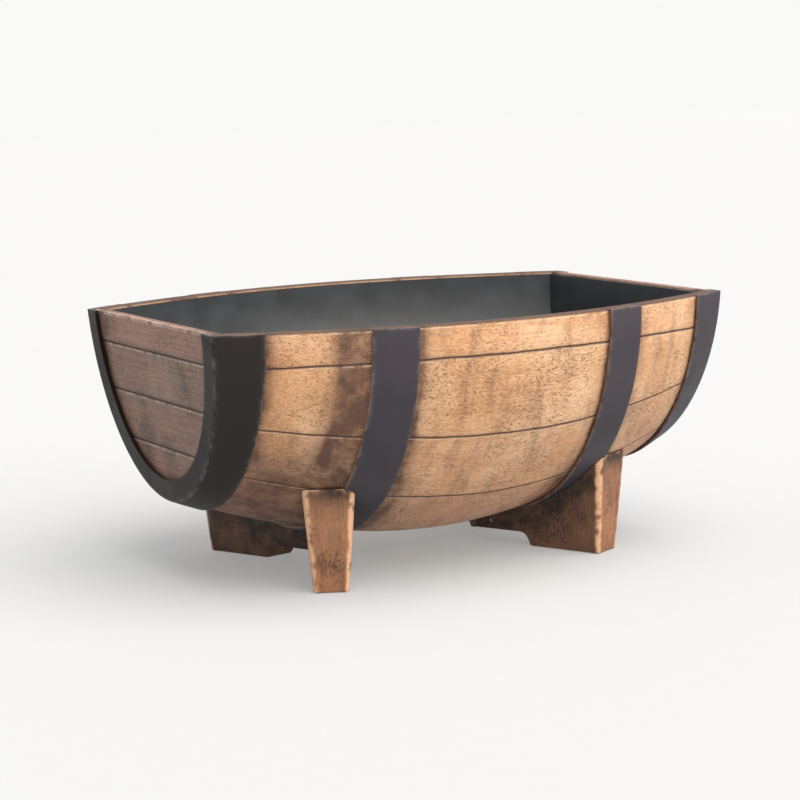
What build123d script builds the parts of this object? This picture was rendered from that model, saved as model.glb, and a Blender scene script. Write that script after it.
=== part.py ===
"""Oval planter built like a coopered half barrel that lies on two splayed cradles.

+X runs along the barrel, +Y across it to the back, +Z up. The origin is on the ground under the middle.
Lengths are millimetres and angles are degrees. Pieces are made for the back and the right, and mirrored.
"""
from build123d import *
import math
import os

# Barrel skin: every cross-section is a half ellipse under the rim, largest in the middle
half_length = 300.0
mid_half_width = 243.0
end_half_width = 158.5
mid_depth = 246.5
end_depth = 182.5
bulge = 1.9
end_tuck = 16.0
ground_clearance = 27.5

# Staves: their joints point at one line below the rim
stave_thickness = 18.0
joint_line_depth = 40.0
joint_angles = (-1.7, 19.8, 42.9, 74.3)

# Heads: flat boards in a rebate that the flange of the end hoop closes
head_thickness = 12.0
head_rebate = 8.0
top_board_height = 32.0
head_board_height = 49.4
head_dowel_diameter = 6.0
head_dowel_length = 24.0
head_dowel_spacing = 100.0

# Hoops
hoop_thickness = 3.7
inner_hoop_start = 110.5
inner_hoop_width = 45.0
end_hoop_start = 252.0
end_flange_thickness = 5.0
end_flange_width = 23.0

# Screws from inside that hold every stave to every hoop
hoop_screw_diameter = 4.0
hoop_screw_head_diameter = 7.0
hoop_screw_head_height = 2.4
hoop_screw_sink = 5.5
hoop_screw_bite = 2.6

# Cradles: two legs each, which meet at a mitre under the keel and splay towards the corners
cradle_apex = 103.0
leg_splay = 25.2
leg_length = 149.0
leg_thickness = 36.0
leg_draft = 5.0
leg_height = 108.0
leg_arris = 4.5
foot_length = 82.0
foot_edge = 1.5
arch_height = 15.0
arch_slope = 20.0
arch_radius = 9.0
mitre_dowel_diameter = 8.0
mitre_dowel_length = 40.0
mitre_dowel_spacing = 18.0

# Screws from inside that hold the staves and inner hoops down on the legs
leg_screw_places = (75.0, 105.0)
leg_screw_diameter = 6.0
leg_screw_head_diameter = 12.0
leg_screw_head_height = 4.0
leg_screw_sink = 6.5
leg_screw_bite = 28.0
screw_clearance = 0.25

# Lining tub, and the drain holes through it and the keel stave
liner_wall = 2.5
liner_gap = 0.3
liner_drop = 2.0
drain_diameter = 12.0
drain_spacing = 60.0
drain_count = 3

# Sizes worked out from the ones above, and reaches that only have to be long enough
rim_height = ground_clearance + mid_depth
end_lean = math.atan(end_tuck / end_depth)
tuck_rate = end_tuck / (half_length * end_depth)
head_inset = end_flange_thickness + head_thickness
loft_reach = half_length + 25
section_count = 13
far = 3 * half_length


def half_width(x):
    """Half width of the skin at the rim, at station x."""
    return mid_half_width - (mid_half_width - end_half_width) * abs(x / half_length) ** bulge


def depth(x):
    """Depth of the skin below the rim, at station x."""
    return mid_depth - (mid_depth - end_depth) * abs(x / half_length) ** bulge


def section(x, growth):
    """Half-ellipse face of the skin at station x, grown outwards; its plane leans as the ends do."""
    lean = math.atan(x * tuck_rate)
    plane = Plane(
        origin=(x, 0, rim_height),
        x_dir=(0, 1, 0),
        z_dir=(-math.cos(lean), 0, math.sin(lean)),
    )
    down = (depth(x) + growth) / math.cos(lean)
    curve = EllipticalCenterArc((0, 0), half_width(x) + growth, down, 0, arc_size=180)
    return plane * make_face(curve + Line(curve @ 1, curve @ 0))


def body(growth):
    """Solid inside the skin, grown outwards by growth, and longer than the barrel."""
    step = 2 * loft_reach / (section_count - 1)
    return loft([section(n * step - loft_reach, growth) for n in range(section_count)])


def trunk(inset):
    """Block between two planes that lean as the ends do, inset from them."""
    top = half_length - inset / math.cos(end_lean)
    bottom = top - 2 * rim_height * math.tan(end_lean)
    outline = Polyline(
        (-top, rim_height), (top, rim_height), (bottom, -rim_height), (-bottom, -rim_height), close=True
    )
    return extrude(Plane.XZ * make_face(outline), amount=far, both=True)


def joint_point(angle):
    """Far point of the joint plane at an angle below the horizontal, as y and z."""
    turn = math.radians(angle)
    return far * math.cos(turn), rim_height - joint_line_depth - far * math.sin(turn)


def stave_block(first, last):
    """Sector along the barrel between two joint planes."""
    middle = joint_point((first + last) / 2)
    outline = Polyline(
        (0, rim_height - joint_line_depth), joint_point(first), middle, joint_point(last), close=True
    )
    return extrude(Plane.YZ * make_face(outline), amount=far, both=True)


def rim_block():
    """Block on the back side, above the first joint."""
    outline = Polyline(
        (0, rim_height - joint_line_depth), joint_point(joint_angles[0]), (far, far), (0, far), close=True
    )
    return extrude(Plane.YZ * make_face(outline), amount=far, both=True)


def band(start, width):
    """Slab across the right half of the barrel."""
    return Pos(start + width / 2, 0, 0) * Box(width, far, far)


def to_front(piece):
    return mirror(piece, about=Plane.XZ)


def to_left(piece):
    return mirror(piece, about=Plane.YZ)


def both_ends(shapes):
    return shapes + [to_left(shape) for shape in shapes]


def four_corners(shapes):
    return both_ends(shapes + [to_front(shape) for shape in shapes])


def skin_level(x, y, down):
    """Negative inside the skin, zero on it and positive outside it, at a depth below the rim."""
    station = x / (1 - tuck_rate * down)
    return (y / half_width(station)) ** 2 + (down / depth(station)) ** 2 - 1


def crossing(level, limit):
    """Value between zero and limit at which a rising level crosses zero."""
    low, high = 0.0, limit
    for _ in range(60):
        middle = (low + high) / 2
        if level(middle) < 0:
            low = middle
        else:
            high = middle
    return low


def skin_plane(x, y, down):
    """Plane that touches the skin at a point and faces outwards."""
    small = 0.01
    here = skin_level(x, y, down)
    slope_x = skin_level(x + small, y, down) - here
    slope_y = skin_level(x, y + small, down) - here
    slope_z = here - skin_level(x, y, down + small)
    return Plane(origin=(x, y, rim_height - down), z_dir=(slope_x, slope_y, slope_z))


def skin_beside_joint_line(x, angle):
    """y and depth of the skin at x, seen from the joint line at an angle below the horizontal."""
    turn = math.radians(angle)

    def level(distance):
        return skin_level(x, distance * math.cos(turn), joint_line_depth + distance * math.sin(turn))

    distance = crossing(level, 2 * mid_half_width)
    return distance * math.cos(turn), joint_line_depth + distance * math.sin(turn)


def stave_middles():
    """Angles of the middles of the staves, from the back rim round to the front rim."""
    rim_stave = -math.degrees(math.atan(joint_line_depth / 2 / mid_half_width))
    back = [rim_stave] + [(first + last) / 2 for first, last in zip(joint_angles, joint_angles[1:])]
    return back + [90.0] + [180 - angle for angle in reversed(back)]


def hoop_screw_planes():
    """Planes on the skin where screws join each stave to the right inner and end hoops."""
    planes = []
    for angle in stave_middles():
        inner_x = inner_hoop_start + inner_hoop_width / 2
        y, down = skin_beside_joint_line(inner_x, angle)
        planes.append(skin_plane(inner_x, y, down))
        # The head leans in, so the middle of the free band behind it is found in a few passes
        for _ in range(4):
            head_x = half_length - head_inset / math.cos(end_lean) - down * math.tan(end_lean)
            end_x = (end_hoop_start + head_x) / 2
            y, down = skin_beside_joint_line(end_x, angle)
        planes.append(skin_plane(end_x, y, down))
    return planes


def leg_screw_planes():
    """Planes on the skin above the middle of the back right leg."""
    turn = math.radians(leg_splay)
    planes = []
    for place in leg_screw_places:
        x = cradle_apex + place * math.sin(turn)
        y = place * math.cos(turn)
        down = crossing(lambda depth_here: skin_level(x, y, depth_here), 2 * mid_depth)
        planes.append(skin_plane(x, y, down))
    return planes


def bar(diameter, start, end):
    """Round bar along Z."""
    return Pos(0, 0, start) * Cylinder(
        diameter / 2, end - start, align=(Align.CENTER, Align.CENTER, Align.MIN)
    )


def stave_screw(diameter, head_diameter, head_height, sink, bite):
    """Screw across a stave; Z is zero on the skin, and the head is sunk into the stave's inside."""
    seat = sink - stave_thickness
    return bar(diameter, seat, bite) + bar(head_diameter, seat - head_height, seat)


def stave_screw_hole(diameter, head_diameter, sink):
    """Clearance hole and counterbore in the stave for that screw."""
    seat = sink - stave_thickness
    counterbore = bar(head_diameter + 2 * screw_clearance, seat - stave_thickness, seat)
    return bar(diameter + 2 * screw_clearance, seat, stave_thickness) + counterbore


def drain_holes():
    """Cylinders through the lowest line of the barrel."""
    first = -drain_spacing * (drain_count - 1) / 2
    hole = bar(drain_diameter, 0, rim_height)
    return [Pos(first + drain_spacing * n, 0, 0) * hole for n in range(drain_count)]


def make_staves(skin, holes):
    """The nine staves."""
    bore = body(-stave_thickness)
    rebate = body(head_rebate - stave_thickness) - trunk(head_inset)
    shell = (skin & trunk(end_flange_thickness)) - bore - rebate - holes
    staves = {"keel_stave": shell & stave_block(joint_angles[-1], 180 - joint_angles[-1])}
    back = {"rim_stave": shell & rim_block()}
    for name, first, last in zip(("upper_stave", "lower_stave", "bottom_stave"), joint_angles, joint_angles[1:]):
        back[name] = shell & stave_block(first, last)
    for name, stave in back.items():
        staves[name + "_back"] = stave
        staves[name + "_front"] = to_front(stave)
    return staves


def make_heads():
    """Four boards to each head, joined edge to edge by dowels."""
    blank = body(head_rebate - stave_thickness) & (trunk(end_flange_thickness) - trunk(head_inset)) & band(0, far)
    joints = [top_board_height + head_board_height * n for n in range(3)]
    middle = half_length - (end_flange_thickness + head_thickness / 2) / math.cos(end_lean)
    dowels = []
    for down in joints:
        for side in (-1, 1):
            centre = (middle - down * math.tan(end_lean), side * head_dowel_spacing / 2, rim_height - down)
            plane = Plane(origin=centre, z_dir=(math.sin(end_lean), 0, math.cos(end_lean)))
            dowels.append(plane * bar(head_dowel_diameter, -head_dowel_length / 2, head_dowel_length / 2))

    heads = {"right_head_dowels": Compound(children=dowels)}
    heads["left_head_dowels"] = Compound(children=[to_left(dowel) for dowel in dowels])
    edges = [0] + joints + [rim_height]
    for name, top, bottom in zip(("top", "upper", "lower", "bottom"), edges, edges[1:]):
        layer = Pos(0, 0, rim_height - (top + bottom) / 2) * Box(far, far, bottom - top)
        board = (blank & layer) - dowels
        heads[f"right_head_{name}_board"] = board
        heads[f"left_head_{name}_board"] = to_left(board)
    return heads


def make_hoops(skin, hoop_skin, threads, leg_holes):
    """Inner hoops, and end hoops whose flange covers the ends of the staves."""
    inner = (hoop_skin - skin) & band(inner_hoop_start, inner_hoop_width)
    end = (hoop_skin & trunk(0) & band(end_hoop_start, far)) - (skin & trunk(end_flange_thickness))
    end = end - body(hoop_thickness - end_flange_width)
    hoops = {"right_inner_hoop": inner - threads - leg_holes, "right_end_hoop": end - threads}
    for name, hoop in list(hoops.items()):
        hoops[name.replace("right", "left")] = to_left(hoop)
    return hoops


def leg_blank():
    """Leg along +X from the mitre, drafted so that it is narrowest on the ground."""
    overrun = 2 * leg_thickness
    outline = Pos((leg_length - overrun) / 2, 0) * Rectangle(leg_length + overrun, leg_thickness)
    outline = fillet(outline.vertices().sort_by(Axis.X)[-2:], leg_arris)
    blank = extrude(outline, amount=leg_height, taper=-leg_draft)
    return chamfer(blank.faces().sort_by(Axis.Z)[0].edges(), foot_edge)


def arch():
    """Low arch under the leg, from the mitre to the foot."""
    foot_start = leg_length - foot_length
    shoulder = foot_start - arch_height * math.tan(math.radians(arch_slope))
    outline = Polyline((-far, 0), (foot_start, 0), (shoulder, arch_height), (-far, arch_height), close=True)
    face = make_face(outline)
    face = fillet(face.vertices().filter_by(lambda corner: corner.X > 0 and corner.Y > 1), arch_radius)
    return extrude(Plane.XZ * face, amount=2 * leg_thickness, both=True)


def make_cradles(skin, hoop_skin, screw_holes):
    """Four legs scribed to the staves and hoops above them, and the dowels across their mitres."""
    web_middle = (arch_height + rim_height - depth(cradle_apex)) / 2
    dowel = Rot(90, 0, 0) * bar(mitre_dowel_diameter, -mitre_dowel_length / 2, mitre_dowel_length / 2)
    places = [cradle_apex + side * mitre_dowel_spacing / 2 for side in (-1, 1)]
    dowels = [Pos(x, 0, web_middle) * dowel for x in places]

    leg = Pos(cradle_apex, 0, 0) * Rot(0, 0, 90 - leg_splay) * (leg_blank() - arch())
    leg = leg & (Pos(0, far / 2, 0) * Box(far, far, far))
    leg = leg - skin - (hoop_skin & band(inner_hoop_start, inner_hoop_width)) - screw_holes - dowels
    return {
        "back_right_leg": leg,
        "front_right_leg": to_front(leg),
        "back_left_leg": to_left(leg),
        "front_left_leg": to_left(to_front(leg)),
        "mitre_dowels": Compound(children=both_ends(dowels)),
    }


def make_liner():
    """Tub inside the staves and heads, open at the top."""
    growth = -stave_thickness - liner_gap
    inset = head_inset + liner_gap
    tub = (body(growth) & trunk(inset)) - (body(growth - liner_wall) & trunk(inset + liner_wall))
    above = Pos(0, 0, rim_height - liner_drop + far / 2) * Box(far, far, far)
    return tub - above - drain_holes()


def build():
    """Every piece, by node name."""
    skin = body(0)
    hoop_skin = body(hoop_thickness)

    places = hoop_screw_planes()
    sizes = (hoop_screw_diameter, hoop_screw_head_diameter)
    screw = stave_screw(*sizes, hoop_screw_head_height, hoop_screw_sink, hoop_screw_bite)
    hoop_screws = both_ends([plane * screw for plane in places])
    hoop_holes = both_ends([plane * stave_screw_hole(*sizes, hoop_screw_sink) for plane in places])
    hoop_threads = [plane * bar(hoop_screw_diameter, -hoop_thickness, hoop_screw_bite) for plane in places]

    places = leg_screw_planes()
    sizes = (leg_screw_diameter, leg_screw_head_diameter)
    screw = stave_screw(*sizes, leg_screw_head_height, leg_screw_sink, leg_screw_bite)
    leg_screws = four_corners([plane * screw for plane in places])
    leg_holes = four_corners([plane * stave_screw_hole(*sizes, leg_screw_sink) for plane in places])
    leg_threads = [plane * bar(leg_screw_diameter, 0, leg_screw_bite) for plane in places]

    nodes = make_staves(skin, hoop_holes + leg_holes + drain_holes())
    nodes.update(make_heads())
    nodes.update(make_hoops(skin, hoop_skin, hoop_threads, leg_holes))
    nodes.update(make_cradles(skin, hoop_skin, leg_threads))
    nodes["liner"] = make_liner()
    nodes["hoop_screws"] = Compound(children=hoop_screws)
    nodes["leg_screws"] = Compound(children=leg_screws)
    return nodes


os.makedirs("parts", exist_ok=True)
for node, piece in build().items():
    export_step(piece, f"parts/{node}.step")
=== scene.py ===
"""Looks of an oval planter built like half a barrel that lies on two splayed cradles.

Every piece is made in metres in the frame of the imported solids: +X along the barrel, +Y across it to the
back, +Z up. Wood pieces are blocks bent to the barrel's skin and then carved, and hoops are rolled bars.
"""

import logging
import math
from dataclasses import dataclass, field
from enum import Enum

import bmesh
import bpy
import numpy as np
from bpy.types import Material, Node, NodeSocket, NodeTree, Object
from mathutils import Matrix, Vector


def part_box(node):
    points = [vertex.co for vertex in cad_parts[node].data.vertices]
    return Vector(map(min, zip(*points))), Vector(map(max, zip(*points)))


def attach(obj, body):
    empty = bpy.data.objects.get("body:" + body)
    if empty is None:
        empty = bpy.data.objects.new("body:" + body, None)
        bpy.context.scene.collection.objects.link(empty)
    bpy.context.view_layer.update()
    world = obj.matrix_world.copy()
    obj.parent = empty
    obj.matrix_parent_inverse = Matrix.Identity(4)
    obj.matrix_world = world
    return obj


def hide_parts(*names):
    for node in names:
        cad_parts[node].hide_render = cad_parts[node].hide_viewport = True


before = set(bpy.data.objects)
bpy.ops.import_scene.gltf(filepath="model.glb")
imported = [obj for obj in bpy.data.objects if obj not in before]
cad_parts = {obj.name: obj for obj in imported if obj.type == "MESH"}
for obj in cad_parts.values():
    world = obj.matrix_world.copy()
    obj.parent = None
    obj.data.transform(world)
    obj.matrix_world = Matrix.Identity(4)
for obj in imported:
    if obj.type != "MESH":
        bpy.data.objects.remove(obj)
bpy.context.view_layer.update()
LOG = logging.getLogger("planter")
MM = 0.001
BODY = "root"
CARVING_STEP = 1.28 * MM
Colour = tuple[float, float, float, float]
Array = np.ndarray


def linear(code: str) -> Colour:
    """Linear colour of an sRGB hex code such as #CDA073."""
    parts = [int(code[n:n + 2], 16) / 255 for n in (1, 3, 5)]
    return (*(p / 12.92 if p <= 0.04045 else ((p + 0.055) / 1.055) ** 2.4 for p in parts), 1.0)


def add(tree: NodeTree, kind: str, inputs: dict | None = None, **settings) -> Node:
    """Adds a node with its settings, values and links.

    Args:
        tree: tree that gets the node.
        kind: the node's type name.
        inputs: by the input's name or number, a value, a socket or a node, linked by its first output.
        settings: attributes of the node, set before its inputs.

    Returns:
        The new node.
    """
    node = tree.nodes.new(kind)
    for name, value in settings.items():
        setattr(node, name, value)
    for key, value in (inputs or {}).items():
        given = value.outputs[0] if isinstance(value, Node) else value
        if isinstance(given, NodeSocket):
            tree.links.new(given, node.inputs[key])
        else:
            node.inputs[key].default_value = given
    return node


@dataclass(frozen=True)
class BarrelSkin:
    """Outer skin of the barrel: half ellipses hung from the rim, largest in the middle, sizes in metres."""

    half_length: float
    mid_half_width: float
    mid_depth: float
    rim: float
    end_half_width: float = 158.5 * MM
    end_depth: float = 182.5 * MM
    bulge: float = 1.9
    end_tuck: float = 16 * MM
    joint_line_depth: float = 40 * MM

    @property
    def tuck_rate(self) -> float:
        """How fast stations draw in towards the middle with depth and with station."""
        return self.end_tuck / (self.half_length * self.end_depth)

    @property
    def end_slope(self) -> float:
        """Tangent of the lean of the barrel's ends."""
        return self.end_tuck / self.end_depth

    def half_width(self, station: Array) -> Array:
        """Half width at the rim."""
        drop = self.mid_half_width - self.end_half_width
        return self.mid_half_width - drop * np.abs(station / self.half_length) ** self.bulge

    def depth(self, station: Array) -> Array:
        """Depth below the rim."""
        drop = self.mid_depth - self.end_depth
        return self.mid_depth - drop * np.abs(station / self.half_length) ** self.bulge

    def place(self, station: Array, angle: Array, growth: Array) -> Array:
        """Points of the skin grown outwards.

        Args:
            station: place along the barrel at the rim.
            angle: zero at the back rim and pi at the front rim.
            growth: distance outside the skin.

        Returns:
            One row of x, y and z for each point.
        """
        down = (self.depth(station) + growth) * np.sin(angle)
        across = (self.half_width(station) + growth) * np.cos(angle)
        return np.stack([station * (1 - self.tuck_rate * down), across, self.rim - down], -1)

    def on_plane(self, top: Array, slope: Array, angle: Array, growth: Array) -> Array:
        """Points where the grown skin crosses the plane x = top - slope * depth, for x above zero."""
        station = top + 0 * angle
        for _ in range(7):
            down = (self.depth(station) + growth) * np.sin(angle)
            station = (top - slope * down) / (1 - self.tuck_rate * down)
        return self.place(station, angle, growth)

    def joint(self, station: Array, below: float) -> Array:
        """Angle of the skin where a joint plane, in degrees below the horizontal, crosses it at the back."""
        rise = self.half_width(station) * math.tan(math.radians(below))
        depth = self.depth(station)
        return np.arctan2(rise, depth) + np.arcsin(self.joint_line_depth / np.hypot(rise, depth))

    def underside(self, x: Array, y: Array, growth: Array) -> Array:
        """Height of the grown skin above the ground at x and y."""
        station = x.copy()
        for _ in range(9):
            share = np.clip(1 - (y / (self.half_width(station) + growth)) ** 2, 0, 1)
            down = (self.depth(station) + growth) * np.sqrt(share)
            station = x / (1 - self.tuck_rate * down)
        return self.rim - down

    def half_width_at(self, top: float, slope: float, down: Array, growth: float) -> Array:
        """Half width of the grown skin, at a depth, in the plane x = top - slope * depth."""
        station = (top - slope * down) / (1 - self.tuck_rate * down)
        share = np.clip(1 - (down / (self.depth(station) + growth)) ** 2, 0, 1)
        return (self.half_width(station) + growth) * np.sqrt(share)


def knots(low: float, high: float, step: float, edge: float = 0.0, rounds: int = 3) -> Array:
    """Places from low to high about a step apart, with extra ones within an edge's rounding."""
    count = max(2, round((high - low - 2 * edge) / step) + 1)
    inner = np.linspace(low + edge, high - edge, count)
    if not edge:
        return inner
    extra = np.tan(np.linspace(0, math.pi / 4, rounds + 1)[1:]) * edge
    return np.concatenate([(low + edge - extra)[::-1], inner, high - edge + extra])


def block(us: Array, vs: Array, ws: Array) -> tuple[Array, Array]:
    """Surface of a lattice of three rising sets of knots.

    Returns:
        The points, one row each, and the quads, which face outwards.
    """
    shell = np.zeros((len(us), len(vs), len(ws)), bool)
    shell[[0, -1]] = True
    shell[:, [0, -1]] = True
    shell[:, :, [0, -1]] = True
    index = np.full(shell.shape, -1)
    index[shell] = np.arange(shell.sum())
    points = np.stack(np.meshgrid(us, vs, ws, indexing="ij"), -1)[shell]
    faces = []
    for axis in range(3):
        for last in (False, True):
            sheet = np.take(index, -1 if last else 0, axis=axis)
            corners = (sheet[:-1, :-1], sheet[1:, :-1], sheet[1:, 1:], sheet[:-1, 1:])
            quads = np.stack(corners, -1).reshape(-1, 4)
            faces.append(quads if last != (axis == 1) else quads[:, ::-1])
    return points, np.concatenate(faces)


def soften(points: Array, low: Array, high: Array, radius: float) -> Array:
    """Points of a box's surface moved onto the same box with rounded edges."""
    core = np.clip(points, low + radius, high - radius)
    away = points - core
    length = np.linalg.norm(away, axis=1, keepdims=True)
    return core + away * np.minimum(1, radius / np.maximum(length, 1e-9))


def rounded_outline(corners: list[tuple[float, float, float]], step: float) -> Array:
    """Closed outline with rounded corners.

    Args:
        corners: x, y and radius of each corner in order.
        step: greatest distance between points on the straight stretches.

    Returns:
        One row of x and y for each point.
    """
    outline = []
    for n, (x, y, radius) in enumerate(corners):
        here = np.array([x, y])
        before = np.array(corners[n - 1][:2]) - here
        after = np.array(corners[(n + 1) % len(corners)][:2]) - here
        before, after = before / np.linalg.norm(before), after / np.linalg.norm(after)
        half = math.acos(float(before @ after)) / 2
        reach = radius / math.tan(half)
        middle = here + (before + after) / np.linalg.norm(before + after) * radius / math.sin(half)
        start, end = here + before * reach - middle, here + after * reach - middle
        for turn in np.linspace(0, 1, 5):
            spoke = start * (1 - turn) + end * turn
            outline.append(middle + spoke / np.linalg.norm(spoke) * radius)
    filled = []
    for here, following in zip(outline, outline[1:] + outline[:1]):
        count = max(1, math.ceil(float(np.linalg.norm(following - here)) / step))
        filled += [here + (following - here) * n / count for n in range(count)]
    return np.array(filled)


def make_piece(name: str, points: Array, faces: list, values: dict[str, Array | float]) -> Object:
    """Smooth mesh object with a float attribute on its points for each value, an array or one number."""
    mesh = bpy.data.meshes.new(name)
    mesh.from_pydata(points.tolist(), [], faces if isinstance(faces, list) else faces.tolist())
    mesh.update()
    mesh.shade_smooth()
    for key, value in values.items():
        spread = np.broadcast_to(value, len(points)).astype(np.float32)
        mesh.attributes.new(key, "FLOAT", "POINT").data.foreach_set("value", spread)
    piece = bpy.data.objects.new(name, mesh)
    bpy.context.scene.collection.objects.link(piece)
    return piece


def run_tree(piece: Object, tree: NodeTree, values: dict) -> None:
    """Runs a Geometry Nodes tree on a piece and keeps the result as its plain mesh."""
    modifier = piece.modifiers.new(tree.name, "NODES")
    modifier.node_group = tree
    for item in tree.interface.items_tree:
        if item.item_type == "SOCKET" and item.in_out == "INPUT" and item.name in values:
            modifier[item.identifier] = values[item.name]
    graph = bpy.context.evaluated_depsgraph_get()
    plain = bpy.data.meshes.new_from_object(
        piece.evaluated_get(graph), preserve_all_data_layers=True, depsgraph=graph
    )
    piece.modifiers.remove(modifier)
    rough = piece.data
    piece.data = plain
    plain.name = piece.name
    bpy.data.meshes.remove(rough)


def new_tree(name: str, sockets: dict[str, str]) -> NodeTree:
    """Geometry Nodes tree with a geometry in, a geometry out and the named inputs, by socket type."""
    tree = bpy.data.node_groups.new(name, "GeometryNodeTree")
    tree.interface.new_socket("Geometry", in_out="OUTPUT", socket_type="NodeSocketGeometry")
    tree.interface.new_socket("Geometry", in_out="INPUT", socket_type="NodeSocketGeometry")
    for key, kind in sockets.items():
        tree.interface.new_socket(key, in_out="INPUT", socket_type=kind)
    return tree


def end_tree(tree: NodeTree, shape: Node, material: NodeSocket) -> NodeTree:
    """Ends a tree in real geometry that has its material, and gives it back."""
    whole = add(tree, "GeometryNodeRealizeInstances", {"Geometry": shape})
    dressed = add(tree, "GeometryNodeSetMaterial", {"Geometry": whole, "Material": material})
    add(tree, "NodeGroupOutput", {"Geometry": dressed})
    return tree


class Grain(Enum):
    """Way that the fibres of a board run, as the share of fibre length along x, y and z."""

    ALONG = (1, 0, 0)
    ACROSS = (0, 1, 0)
    UPRIGHT = (0, 0, 1)

    def size(self, length: float, width: float) -> tuple[float, float, float]:
        """Length of a fibre or pit along this way, and its width along the others."""
        return tuple(length if share else width for share in self.value)


@dataclass(frozen=True)
class Carving:
    """Pits, curls and long fibres pressed into the shown side of a piece, sizes in metres."""

    depth: float = 0.65 * MM
    pit_length: float = 4.2 * MM
    pit_width: float = 2.0 * MM
    fibre_length: float = 60 * MM
    fibre_width: float = 2.2 * MM
    curl_length: float = 6.5 * MM
    curl_width: float = 2.3 * MM
    pits: float = 0.8
    curls: float = 0.7
    grain: Grain = Grain.ALONG

    def press(self, piece: Object, material: Material, seed: int) -> None:
        """Presses the pattern into a piece where its carved attribute says so, and sets its material."""
        fibre = self.grain.size(self.fibre_length, self.fibre_width)
        pit = self.grain.size(self.pit_length, self.pit_width)
        values = {
            "Depth": self.depth,
            "Pit Size": pit,
            "Fibre Size": fibre,
            "Curl Size": Grain.UPRIGHT.size(self.curl_length, self.curl_width),
            "Pits": self.pits,
            "Curls": self.curls,
            "Shift": (seed * 0.37, seed * 0.61, seed * 0.83),
            "Material": material,
        }
        run_tree(piece, carving_tree(), values)


def carving_tree() -> NodeTree:
    """Tree that moves carved points inwards, and stores how deep each one is pitted as relief."""
    if "carved_grain" in bpy.data.node_groups:
        return bpy.data.node_groups["carved_grain"]
    sockets = {name: "NodeSocketFloat" for name in ("Depth", "Pits", "Curls")}
    sockets.update({name: "NodeSocketVector" for name in ("Pit Size", "Curl Size", "Fibre Size", "Shift")})
    tree = new_tree("carved_grain", {**sockets, "Material": "NodeSocketMaterial"})
    given = add(tree, "NodeGroupInput").outputs
    here = add(tree, "GeometryNodeInputPosition")
    place = add(tree, "ShaderNodeVectorMath", {0: here, 1: given["Shift"]}, operation="ADD")
    carved = add(tree, "GeometryNodeInputNamedAttribute", {"Name": "carved"}, data_type="FLOAT")
    pit_place, curl_place, fibre_place = (
        add(tree, "ShaderNodeVectorMath", {0: place, 1: given[size]}, operation="DIVIDE")
        for size in ("Pit Size", "Curl Size", "Fibre Size")
    )

    # Pits are cells that waver every 4 mm, and lie in patches about 45 mm across
    wander = add(tree, "ShaderNodeTexNoise", {"Vector": place, "Scale": 260.0, "Detail": 1.0})
    sway = add(tree, "ShaderNodeVectorMath", {0: wander.outputs["Color"], "Scale": 0.9}, operation="SCALE")
    pit_place = add(tree, "ShaderNodeVectorMath", {0: pit_place, 1: sway}, operation="ADD")
    cells = add(tree, "ShaderNodeTexVoronoi", {"Vector": pit_place, "Scale": 1.0}, feature="F1")
    pit_patch = add(tree, "ShaderNodeTexNoise", {"Vector": place, "Scale": 22.0, "Detail": 2.0})

    # Curls run where a warped noise passes its middle value, in patches about 60 mm across
    curl = add(
        tree, "ShaderNodeTexNoise", {"Vector": curl_place, "Scale": 0.55, "Detail": 1.0, "Distortion": 1.4}
    )
    off = add(tree, "ShaderNodeMath", {0: curl, 1: 0.5}, operation="SUBTRACT")
    off = add(tree, "ShaderNodeMath", {0: off}, operation="ABSOLUTE")
    apart = add(tree, "ShaderNodeVectorMath", {0: place, 1: (3.1, 1.7, 5.3)}, operation="ADD")
    curl_patch = add(tree, "ShaderNodeTexNoise", {"Vector": apart, "Scale": 17.0, "Detail": 2.0})

    pits, pit_share, curls, curl_share = (
        add(
            tree, "ShaderNodeMapRange", {"Value": value, 1: low, 2: high, 3: first, 4: last},
            interpolation_type="SMOOTHSTEP",
        )
        for value, low, high, first, last in (
            (cells, 0.15, 0.5, 1.0, 0.0),
            (pit_patch, 0.4, 0.62, 0.0, given["Pits"]),
            (off, 0.012, 0.075, 1.0, 0.0),
            (curl_patch, 0.46, 0.64, 0.0, given["Curls"]),
        )
    )
    pitted = add(tree, "ShaderNodeMath", {0: pits, 1: pit_share}, operation="MULTIPLY")
    curled = add(tree, "ShaderNodeMath", {0: curls, 1: curl_share}, operation="MULTIPLY")
    relief = add(tree, "ShaderNodeMath", {0: pitted, 1: curled}, operation="MAXIMUM")

    # Long fibres, and shallow dents about 30 mm across
    fibres = add(tree, "ShaderNodeTexNoise", {"Vector": fibre_place, "Scale": 1.0, "Detail": 3.0})
    dents = add(tree, "ShaderNodeTexNoise", {"Vector": place, "Scale": 34.0, "Detail": 1.0})
    low = add(tree, "ShaderNodeMath", {0: fibres, 1: 0.45}, operation="MULTIPLY")
    low = add(tree, "ShaderNodeMath", {0: dents, 1: 0.7, 2: low}, operation="MULTIPLY_ADD")
    total = add(tree, "ShaderNodeMath", {0: relief, 1: low}, operation="ADD")
    total = add(tree, "ShaderNodeMath", {0: total, 1: carved}, operation="MULTIPLY")
    inwards = add(tree, "ShaderNodeMath", {0: total, 1: given["Depth"]}, operation="MULTIPLY")
    inwards = add(tree, "ShaderNodeMath", {0: inwards, 1: -1.0}, operation="MULTIPLY")
    normal = add(tree, "GeometryNodeInputNormal")
    move = add(tree, "ShaderNodeVectorMath", {0: normal, "Scale": inwards}, operation="SCALE")

    shown = add(tree, "ShaderNodeMath", {0: relief, 1: carved}, operation="MULTIPLY")
    stored = add(
        tree, "GeometryNodeStoreNamedAttribute",
        {"Geometry": given["Geometry"], "Name": "relief", "Value": shown},
        data_type="FLOAT", domain="POINT",
    )
    moved = add(tree, "GeometryNodeSetPosition", {"Geometry": stored, "Offset": move})
    return end_tree(tree, moved, given["Material"])


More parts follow.
